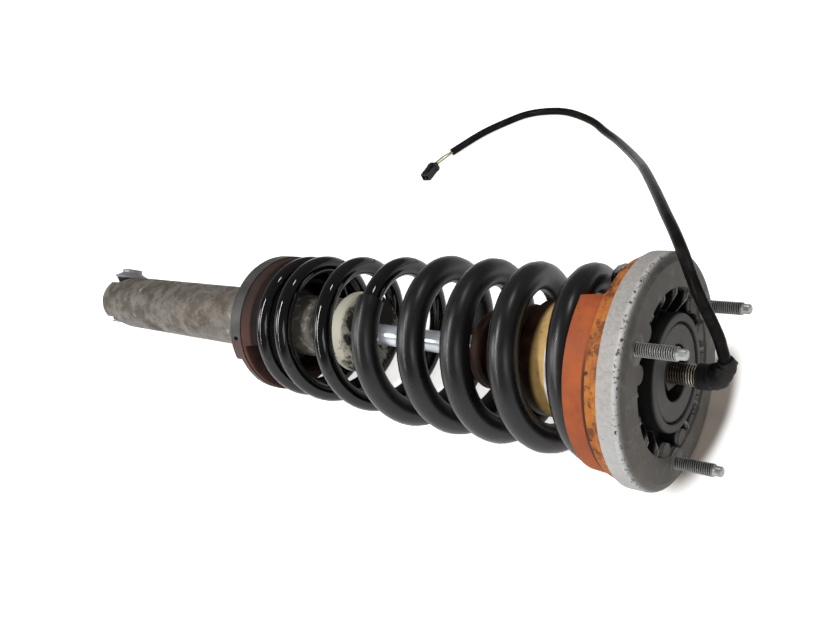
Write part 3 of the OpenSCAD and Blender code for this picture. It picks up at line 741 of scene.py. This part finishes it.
def addBumpStop():
    # each lobe is a radius, its two stations and its rounding
    form = bumpStop
    bore, foot, waist, neck = form["bore"], form["foot"], form["waist"], form["neck"]
    low, middle, (radius, start, end, rounding) = form["lobes"]

    def lobe(radius, start, end, rounding):
        return (arcRun((radius - rounding, start + rounding), rounding, -90, 0)
                + arcRun((radius - rounding, end - rounding), rounding, 0, 90))

    outline = [(bore, foot + 0.6), (bore + 0.6, foot), (form["footRadius"], foot)] + lobe(*low)
    outline += arcRun((waist + 1.2, low[2] + 1.6), 1.2, 240, 180, 3) + [(waist, low[2] + 2.6)]
    outline += lobe(*middle) + [(neck, middle[2] + 1), (neck, middle[2] + 2)]
    outline += arcRun((radius - rounding, start + rounding), rounding, -90, 0)
    outline += [(radius, end - 0.8), (radius - 0.8, end), (bore, end)]
    stop = keepMesh(spun(outline, 96), "bumpStop", foamMaterial(), "rod", sharp=45)
    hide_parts("bump_stop")
    inside, outside, start, end = form["band"]
    ring = spun([(inside, start), (outside, start), (outside, end), (inside, end)], 96)
    pale = rubberMaterial("bandWhite", (0.62, 0.6, 0.56), 0.5)
    band = keepMesh(ring, "stopBand", pale, "rod")
    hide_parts("bump_stop_band")
    print("stage: bump stop")


addBumpStop()

boot = {
    "foot": 619.5, "mouth": 6.15, "radius": 7.4, "elbow": (324.3, 0.7, 72.6),
    "sizes": [(0, 7.5), (0.2, 7.6), (0.34, 7.4), (0.44, 7.7), (0.54, 7.4), (0.66, 6.3), (0.8, 5.2), (1, 4.4)],
    "wrinkle": 0.2, "wrinkleRate": 58, "bend": (0.2, 0.8),
    "knobHeading": (0.5, 1, 0.4),
    "knob": [(2, 3), (8.2, 3), (8.8, 2.6), (9.4, 2.6), (10, 3.3), (11.4, 3.3), (12, 2.7)]}


def addBoot():
    # a rubber elbow pulled over the rod's end, wrinkled in its bend, with a plugged side branch
    form = boot
    elbow = Vector(form["elbow"])
    start = onStrut(form["foot"]) / mm
    leadStart = Vector(lead["route"][0]) / mm
    branch = (Vector(lead["route"][1]) - Vector(lead["route"][0])).normalized()
    along = strutAxis
    path = smoothRun([start, start + 5.4 * along, elbow - 2.6 * along - 0.4 * branch, elbow + 0.9 * branch,
                      leadStart - 4 * branch, leadStart + 0.3 * branch], 8)
    stops = [(start + 3 * along, along, form["mouth"]), (start, along, form["mouth"]),
             (start, along, form["radius"] - 0.3), (start + 0.35 * along, along, form["radius"])]
    bendStart, bendEnd = form["bend"]
    for i, (point, ahead) in list(enumerate(zip(path, headings(path))))[1:]:
        share = i / (len(path) - 1)
        depth = form["wrinkle"] * (1 if bendStart < share < bendEnd else 0.35)
        crease = depth * math.sin(share * form["wrinkleRate"])
        stops.append((point, ahead, between(form["sizes"], share) + crease))
    bm = bmesh.new()
    sweptRings(bm, stops, 36)
    out = Vector(form["knobHeading"]).normalized()
    sweptRings(bm, [(elbow + out * far, out, size) for far, size in form["knob"]], 24)
    rubber = leadMaterial("bootRubber", 0.55, 0.3)
    piece = keepMesh(bm, "leadBoot", rubber, "rod", Matrix(), 50)
    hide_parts("cable_boot")
    print("stage: boot")


addBoot()

bush = {
    "turn": -52,
    "shell": [(10.05, -21.4), (12.3, -21.4), (12.9, -20.6), (13.55, -18.6), (13.55, 18.1)],
    "neck": ((13.4, 19.3), 1.4, 240, 130, 5),
    "lip": [(14.6, 23.6), (14.95, 24.1), (14.95, 24.8), (14.4, 25), (10.05, 25)]}
mountRubber = {
    "shell": [(15, 581.05), (29.95, 581.05), (29.95, 600.2), (29.2, 600.6)],
    "groove": ((27, 600.6), 1.6, 0, -180, 8),
    "hole": [(24.8, 600.6), (24.08, 600.3), (24.08, 586.95), (15, 586.95)]}
across = (layDown @ Matrix.Rotation(math.radians(bush["turn"]), 4, "Z")
          @ Matrix.Rotation(math.radians(90), 4, "Y"))
bushBlack = rubberMaterial("bushRubber", (0.012, 0.012, 0.012))


def addRubbers():
    # bonded rubber of the lower bush with its sealing lip, and of the top mount with its bellows
    outline = bush["shell"] + arcRun(*bush["neck"]) + bush["lip"]
    ring = keepMesh(spun(outline, 64), "bushRubber", bushBlack, "damper", across)
    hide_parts("bush_rubber")
    outline = mountRubber["shell"] + arcRun(*mountRubber["groove"]) + mountRubber["hole"]
    core = keepMesh(spun(outline, 96), "mountRubber", bushBlack, "rod")
    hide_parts("mount_rubber")
    print("stage: rubbers")


addRubbers()

thread = {
    "studTurn": 28, "studCircle": 56, "studRadius": 4, "shank": (4.3, 595), "face": 606, "threadEnd": 627.9,
    "dogPoint": [(3.15, 628.8), (3, 629.1), (3, 631.8), (2.6, 632.6), (1.8, 633), (0, 633)],
    "studPitch": 1.25, "studDepth": 0.62,
    "rodRadius": 6.42, "rodBore": 6.01, "rodPitch": 1.5, "rodDepth": 0.38, "rodFrom": 604.2, "rodTo": 620.4}


def cutThread(bm, crest, depth, pitch, start, end):
    # a helical groove in the part of the bar that has the crest's radius
    def rule(radius, turn, station):
        if abs(radius - crest) > 0.01 or not start < station < end:
            return radius, turn, station
        phase = (station / pitch - turn / 360) % 1
        fade = min(1, (station - start) / pitch, (end - station) / pitch)
        return radius - depth * fade * (0.5 + 0.5 * math.cos(math.tau * phase)) ** 1.4, turn, station

    reshape(bm, rule)


def studDistance(tree, place):
    # distance to the axis of the nearest stud
    circle = thread["studCircle"] * mm
    flat = vectorNode(tree, "MULTIPLY", strutPlace(tree, place), (1, 1, 0))[0]
    least = None
    for k in range(3):
        angle = math.radians(thread["studTurn"] + 120 * k)
        axis = (circle * math.cos(angle), circle * math.sin(angle), 0)
        gap = vectorNode(tree, "DISTANCE", flat, axis)["Value"]
        least = gap if least is None else mathNode(tree, "MINIMUM", least, gap)
    return least


def studZinc():
    material, tree, shader, place = newMaterial("studZinc", (0.45, 0.45, 0.44), 0.35, 0.6)
    station = stationAndRadius(tree, place)[0]
    # painted shade: the roots of the stud threads are painted near black
    groove = ramp(tree, studDistance(tree, place), 0.00385, 0.00345)
    tip = ramp(tree, station, 0.6276, 0.6282)
    dirt = blotchMask(tree, place, 120.0, 0.42, 0.1)
    metal = mixColour(tree, dirt, (0.34, 0.34, 0.33), (0.13, 0.125, 0.115))
    metal = mixColour(tree, groove, metal, (0.018, 0.017, 0.015))
    end = mixColour(tree, dirt, (0.5, 0.52, 0.5), (0.22, 0.22, 0.2))
    setColour(tree, shader, mixColour(tree, tip, metal, end))
    setRoughness(tree, shader, dirt, 0.32, 0.55)
    return material


def rodThreadSteel():
    material, tree, shader, place = newMaterial("rodThread", (0.5, 0.44, 0.3), 0.3, 0.9)
    station, radius, _, _ = stationAndRadius(tree, place)
    # painted shade: the thread roots are painted near black
    groove = ramp(tree, radius, 0.00636, 0.0062)
    smear = blotchMask(tree, place, 90.0, 0.5, 0.12)
    # painted light: the crests are painted bright near the boot and dark deeper in the mount, with smears in
    # the bright part
    litCrest = mixColour(tree, smear, (0.85, 0.8, 0.7), (0.6, 0.5, 0.34))
    crest = mixColour(tree, ramp(tree, station, 0.6122, 0.616), (0.09, 0.068, 0.045), litCrest)
    setColour(tree, shader, mixColour(tree, groove, crest, (0.014, 0.011, 0.008)))
    setRoughness(tree, shader, smear, 0.25, 0.45)
    return material


def addThreads():
    form = thread
    face, threadEnd = form["face"], form["threadEnd"]
    rows = round((threadEnd - face) / form["studPitch"] * 8)
    step = (threadEnd - face) / rows
    crest = form["studRadius"]
    shank, shankFoot = form["shank"]
    bm = bmesh.new()
    for k in range(3):
        outline = [(0, shankFoot), (shank, shankFoot), (shank, face - 0.1)]
        outline += [(crest, face + i * step) for i in range(rows + 1)]
        outline += form["dogPoint"]
        stud = spun(outline, 36, False)
        cutThread(stud, crest, form["studDepth"], form["studPitch"], face - 1, threadEnd + 0.4)
        angle = math.radians(form["studTurn"] + 120 * k)
        bmesh.ops.translate(stud, verts=stud.verts, vec=(
            form["studCircle"] * math.cos(angle), form["studCircle"] * math.sin(angle), 0))
        data = bpy.data.meshes.new("oneStud")
        stud.to_mesh(data)
        stud.free()
        bm.from_mesh(data)
        bpy.data.meshes.remove(data)
    studs = keepMesh(bm, "mountStuds", studZinc(), "rod", sharp=50)
    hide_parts("mount_studs")
    crest = form["rodRadius"]
    rows = round((form["rodTo"] - form["rodFrom"]) / form["rodPitch"] * 8)
    step = (form["rodTo"] - form["rodFrom"]) / rows
    outline = [(form["rodBore"], form["rodFrom"])]
    outline += [(crest, form["rodFrom"] + i * step) for i in range(rows + 1)]
    sleeve = spun(outline + [(form["rodBore"], form["rodTo"])], 48)
    cutThread(sleeve, crest, form["rodDepth"], form["rodPitch"], form["rodFrom"] - 2, form["rodTo"] + 2)
    keepMesh(sleeve, "rodThread", rodThreadSteel(), "rod", sharp=50)
    print("stage: threads")


addThreads()


def alloyTube():
    material, tree, shader, place = newMaterial("tubeAlloy", (0.3, 0.28, 0.25), 0.55, 0.2, 0.4)
    station = stationAndRadius(tree, place)[0]
    upper = ramp(tree, station, 0.06, 0.25)
    base = mixColour(tree, upper, (0.07, 0.058, 0.046), (0.13, 0.115, 0.096))
    mottle = blotchMask(tree, place, 75.0, 0.5, 0.09)
    base = mixColour(tree, times(tree, mottle, 0.6), base, (0.23, 0.208, 0.175))
    brown = blotchMask(tree, place, 32.0, 0.44, 0.07)
    base = mixColour(tree, times(tree, brown, 0.65), base, (0.075, 0.054, 0.034))
    close = times(tree, ramp(tree, station, 0.19, 0.25), 0.1)
    pale = blotchMask(tree, place, 110.0, mathNode(tree, "ADD", close, 0.34), 0.05)
    base = mixColour(tree, times(tree, pale, 0.75), base, (0.5, 0.49, 0.44))
    dark = pitMask(tree, place, 200.0, 0.12, 0.3)
    setColour(tree, shader, mixColour(tree, dark, base, (0.05, 0.045, 0.038)))
    setRoughness(tree, shader, brown, 0.45, 0.75)
    setBump(tree, shader, pale, 0.0003, 0.35)
    return material


def greySeat():
    material, tree, shader, place = newMaterial("seatCoating", (0.09, 0.088, 0.082), 0.55, 0.0, 0.35)
    _, _, up, near = stationAndRadius(tree, place)
    rust = blotchMask(tree, place, 45.0, 0.36, 0.08)
    base = mixColour(tree, blotchMask(tree, place, 90.0, 0.5, 0.2),
                     (0.038, 0.038, 0.036), (0.064, 0.063, 0.059))
    base = mixColour(tree, times(tree, rust, 0.6), base, (0.06, 0.03, 0.022))
    below = times(tree, ramp(tree, near, 0.0475, 0.049), ramp(tree, up, -0.001, 0.003))
    base = mixColour(tree, below, base, mixColour(tree, rust, (0.055, 0.027, 0.021), (0.1, 0.045, 0.032)))
    setColour(tree, shader, base)
    setRoughness(tree, shader, rust, 0.45, 0.8)
    setBump(tree, shader, rust, 0.0003, 0.3)
    return material


def creamCap():
    material, tree, shader, place = newMaterial("capCream", (0.5, 0.48, 0.38), 0.45, shine=0.4)
    station = stationAndRadius(tree, place)[0]
    dirty = times(tree, ramp(tree, station, 0.353, 0.368), 0.5)
    cover = blotchMask(tree, place, 35.0, 0.52, 0.1)
    grime = mathNode(tree, "ADD", dirty, times(tree, cover, 0.55), True)
    base = mixColour(tree, ramp(tree, grime, 0.45, 0.75), (0.5, 0.48, 0.38), (0.025, 0.02, 0.015))
    specks = pitMask(tree, place, 260.0, 0.25, 0.3)
    setColour(tree, shader, mixColour(tree, specks, base, (0.1, 0.08, 0.06)))
    setRoughness(tree, shader, grime, 0.4, 0.8)
    return material


def plainMetal(name, colour, roughness, metallic=0.9, grain=250.0):
    material, tree, shader, place = newMaterial(name, colour, roughness, metallic)
    cloud = blotchMask(tree, place, grain / 3, 0.5, 0.2)
    darker = tuple(c * 0.7 for c in colour)
    setColour(tree, shader, mixColour(tree, cloud, darker, colour))
    setRoughness(tree, shader, cloud, roughness * 0.85, min(roughness * 1.3, 1))
    fine = addNode(tree, "ShaderNodeTexNoise", {"Vector": place, "Scale": grain * 8, "Detail": 2.0})
    setBump(tree, shader, fine.outputs[0], 0.0001, 0.15)
    return material


def rodChrome():
    material, tree, shader, place = newMaterial("rodChrome", (0.78, 0.8, 0.84), 0.15, 0.5)
    smear = blotchMask(tree, place, 60.0, 0.42, 0.15)
    setColour(tree, shader, mixColour(tree, smear, (0.78, 0.82, 0.88), (0.66, 0.7, 0.75)))
    setRoughness(tree, shader, smear, 0.16, 0.26)
    return material


def castAlloy():
    # light band, darker face that is partly painted shade, pockets painted black as shade, painted highlights
    # on the rib tops, brighter spot faces around the studs
    material, tree, shader, place = newMaterial("castAlloy", (0.42, 0.42, 0.41), 0.55, 0.1, 0.35)
    station, radius, up, _ = stationAndRadius(tree, place)
    face = ramp(tree, station, 0.6028, 0.6048)
    cloud = blotchMask(tree, place, 40.0, 0.5, 0.2)
    grain = blotchMask(tree, place, 420.0, 0.48, 0.14)
    band = mixColour(tree, cloud, (0.47, 0.465, 0.455), (0.54, 0.54, 0.53))
    band = mixColour(tree, times(tree, grain, 0.3), band, (0.33, 0.322, 0.308))
    brown = times(tree, ramp(tree, up, 0.01, 0.055), 0.6)
    band = mixColour(tree, brown, band, mixColour(tree, grain, (0.37, 0.33, 0.3), (0.25, 0.22, 0.195)))
    rim = times(tree, ramp(tree, station, 0.6, 0.6022), ramp(tree, station, 0.6054, 0.6036))
    band = mixColour(tree, times(tree, rim, 0.5), band, (0.66, 0.66, 0.65))
    cover = mathNode(tree, "ADD", times(tree, rim, 0.1), 0.345)
    pits = blotchMask(tree, place, 560.0, cover, 0.02)
    band = mixColour(tree, pits, band, (0.035, 0.033, 0.03))
    # the face is painted darker than the band: partly its own cast tone, partly painted shade for a face
    # turned from the light
    front = mixColour(tree, cloud, (0.074, 0.066, 0.057), (0.15, 0.138, 0.122))
    front = mixColour(tree, times(tree, grain, 0.3), front, (0.06, 0.054, 0.046))
    scuff = blotchMask(tree, place, 95.0, 0.41, 0.06)
    front = mixColour(tree, times(tree, scuff, 0.5), front, (0.2, 0.188, 0.168))
    nicks = blotchMask(tree, place, 420.0, 0.34, 0.03)
    front = mixColour(tree, times(tree, nicks, 0.6), front, (0.3, 0.29, 0.27))
    spot = times(tree, ramp(tree, studDistance(tree, place), 0.0092, 0.0086),
                 blotchMask(tree, place, 60.0, 0.5, 0.12))
    front = mixColour(tree, times(tree, spot, 0.7), front, (0.28, 0.27, 0.25))
    base = mixColour(tree, face, band, front)
    inside = ramp(tree, radius, 0.0501, 0.0493)
    hub = ramp(tree, radius, 0.0358, 0.0352)
    hubTop = mathNode(tree, "MAXIMUM", ramp(tree, radius, 0.0347, 0.0342),
                      ramp(tree, station, 0.6074, 0.6079))
    around = mathNode(tree, "SUBTRACT", inside, hub, True)
    # painted highlight: a lighter line along the rib tops between the pockets
    ribHighlight = times(tree, ramp(tree, station, 0.6041, 0.6044), ramp(tree, station, 0.6048, 0.60465))
    base = mixColour(tree, times(tree, times(tree, ribHighlight, around), 0.7), base, (0.21, 0.2, 0.18))
    hubTone = mixColour(tree, cloud, (0.055, 0.052, 0.048), (0.08, 0.076, 0.07))
    base = mixColour(tree, hub, base, mixColour(tree, hubTop, (0.006, 0.0055, 0.005), hubTone))
    # painted shade: the pockets between hub and rim are painted near black
    pocketShade = times(tree, around, ramp(tree, station, 0.6043, 0.6015))
    setColour(tree, shader, mixColour(tree, pocketShade, base, (0.008, 0.007, 0.0065)))
    setRoughness(tree, shader, cloud, 0.45, 0.65)
    rough = mathNode(tree, "ADD", times(tree, pits, -1.0), times(tree, grain, 0.25))
    setBump(tree, shader, rough, 0.0005, 0.5)
    return material


def coreSteel():
    # the disc of the mount, painted black inside its wrench hole as shade
    material, tree, shader, place = newMaterial("coreSteel", (0.12, 0.115, 0.108), 0.5, 0.15, 0.4)
    station, radius, _, _ = stationAndRadius(tree, place)
    cloud = blotchMask(tree, place, 80.0, 0.5, 0.2)
    scuff = blotchMask(tree, place, 170.0, 0.38, 0.06)
    disc = mixColour(tree, cloud, (0.058, 0.055, 0.051), (0.09, 0.086, 0.08))
    disc = mixColour(tree, times(tree, scuff, 0.35), disc, (0.15, 0.143, 0.133))
    # painted shade: black inside the wrench hole
    hole = times(tree, ramp(tree, radius, 0.0174, 0.0170), ramp(tree, station, 0.6066, 0.6058))
    setColour(tree, shader, mixColour(tree, hole, disc, (0.008, 0.0075, 0.007)))
    setRoughness(tree, shader, cloud, 0.42, 0.62)
    return material


finishes = {
    "damper_tube": alloyTube(), "spring_seat": greySeat(), "tube_cap": creamCap(),
    "piston_rod": rodChrome(), "mount_housing": castAlloy(),
    "bush_sleeve": plainMetal("bushSteel", (0.3, 0.285, 0.3), 0.42, 0.35),
    "mount_core": coreSteel(),
    "bump_stop_cup": rubberMaterial("cupBlack", (0.03, 0.03, 0.03), 0.5),
    "cable_connector": rubberMaterial("plugBlack", (0.01, 0.01, 0.011), 0.35)}
steel = plainMetal("innerSteel", (0.42, 0.42, 0.42), 0.35)
finishes["rod_nut"] = finishes["rod_washer"] = plainMetal("nutSteel", (0.03, 0.027, 0.024), 0.5, 0.3)
for node in ("rod_seal", "dividing_piston_seal", "valve_lead"):
    finishes[node] = bushBlack
for node in frame["nodes"]:
    dress(node, finishes.get(node, steel))
print("stage: finishes on", len(frame["nodes"]), "nodes")


studio = {
    "floorSize": 8,
    "floorColour": 0.8,
    "floorGlow": (0.06, 0.7),
    "mirrorEnd": (0.5, 0.1),
    "mirrorGlow": 0.4,
    "shadowPlace": (0.2945, 0.023, 0.0),
    "shadowScale": (1, 0.3, 0),
    "shadowReach": (0.013, 0.021),
    "shadowColour": (0.3, 0.24, 0.185),
    "glowColour": (1, 0.985, 0.965),
    "fill": 0.42,
    "mirrored": (1.0, 0.16),
    "mirrorHeight": (0.02, 0.34),
    "mirrorDepth": (0.1, 0.6),
    "lamps": [
        ("stripLamp", (-0.85, -2.3, 1.25), (0.055, 4.4), -16, 42),
        ("glintLamp", (0.45, 0.5, 1.05), (0.16, 0.16), 0, 1.5),
        ("softLamp", (-1.3, -0.9, 1.1), (0.7, 0.7), None, 9),
        ("rightLamp", (1.4, -0.7, 0.9), (0.6, 0.6), None, 3)]}


def seenDirectly(tree, place):
    # camera, mirror and glass rays see the white surroundings; mirrors find them darker far behind
    path = addNode(tree, "ShaderNodeLightPath")
    depth = addNode(tree, "ShaderNodeSeparateXYZ", {0: place}).outputs[1]
    glossy = times(tree, path.outputs["Is Glossy Ray"], ramp(tree, depth, *studio["mirrorEnd"]))
    glossy = times(tree, glossy, studio["mirrorGlow"])
    return mathNode(tree, "MAXIMUM", path.outputs["Is Camera Ray"], mathNode(
        tree, "MAXIMUM", glossy, path.outputs["Is Transmission Ray"]))


def addFloor():
    # the painted shadow patch beside the mount goes with it
    bm = bmesh.new()
    bmesh.ops.create_grid(bm, x_segments=1, y_segments=1, size=studio["floorSize"])
    data = bpy.data.meshes.new("floor")
    bm.to_mesh(data)
    bm.free()
    floor = bpy.data.objects.new("floor", data)
    bpy.context.collection.objects.link(floor)
    tone = studio["floorColour"]
    material, tree, shader, place = newMaterial("paleFloor", (tone, tone, tone), 0.9, shine=0.0)
    beside = addNode(tree, "ShaderNodeTexCoord", object=frame["nodes"]["mount_housing"]).outputs["Object"]
    apart = vectorNode(tree, "SUBTRACT", beside, studio["shadowPlace"])[0]
    flat = vectorNode(tree, "MULTIPLY", apart, studio["shadowScale"])[0]
    far = ramp(tree, vectorNode(tree, "LENGTH", flat)["Value"], *studio["shadowReach"])
    setColour(tree, shader, mixColour(tree, far, studio["shadowColour"], (tone, tone, tone)))
    glow = spread(tree, far, *studio["floorGlow"])
    shader.inputs["Emission Color"].default_value = (*studio["glowColour"], 1)
    tree.links.new(times(tree, seenDirectly(tree, place), glow), shader.inputs["Emission Strength"])
    data.materials.append(material)


def addWorld():
    world = bpy.data.worlds.new("studioWorld")
    world.use_nodes = True
    tree = world.node_tree
    back = tree.nodes["Background"]
    path = addNode(tree, "ShaderNodeLightPath")
    ahead = addNode(tree, "ShaderNodeTexCoord").outputs["Generated"]
    _, depth, height = addNode(tree, "ShaderNodeSeparateXYZ", {0: ahead}).outputs
    rise = mathNode(tree, "MAXIMUM", ramp(tree, height, *studio["mirrorHeight"]),
                    ramp(tree, depth, *studio["mirrorDepth"]))
    mirrors = mathNode(tree, "MAXIMUM", path.outputs["Is Glossy Ray"], path.outputs["Is Transmission Ray"])
    strength = addNode(tree, "ShaderNodeMix", {
        0: mirrors, 2: studio["fill"], 3: spread(tree, rise, *studio["mirrored"])})
    strength = addNode(tree, "ShaderNodeMix", {
        0: path.outputs["Is Camera Ray"], 2: strength.outputs[0], 3: 1.0})
    back.inputs["Color"].default_value = (1, 1, 1, 1)
    tree.links.new(strength.outputs[0], back.inputs["Strength"])
    bpy.context.scene.world = world


def addLamps():
    for name, place, size, turn, power in studio["lamps"]:
        lamp = bpy.data.lights.new(name, "AREA")
        lamp.shape = "RECTANGLE"
        lamp.size, lamp.size_y = size
        lamp.energy = power
        holder = bpy.data.objects.new(name, lamp)
        holder.location = place
        if turn is None:
            aim = (Vector((0.05, 0, 0.05)) - Vector(place)).to_track_quat("-Z", "Y")
            holder.rotation_euler = aim.to_euler()
        else:
            holder.rotation_euler = (0, 0, math.radians(turn))
        bpy.context.collection.objects.link(holder)
    bpy.context.scene.view_settings.view_transform = "Standard"


addFloor()
addWorld()
addLamps()
print("stage: floor and lamps set")
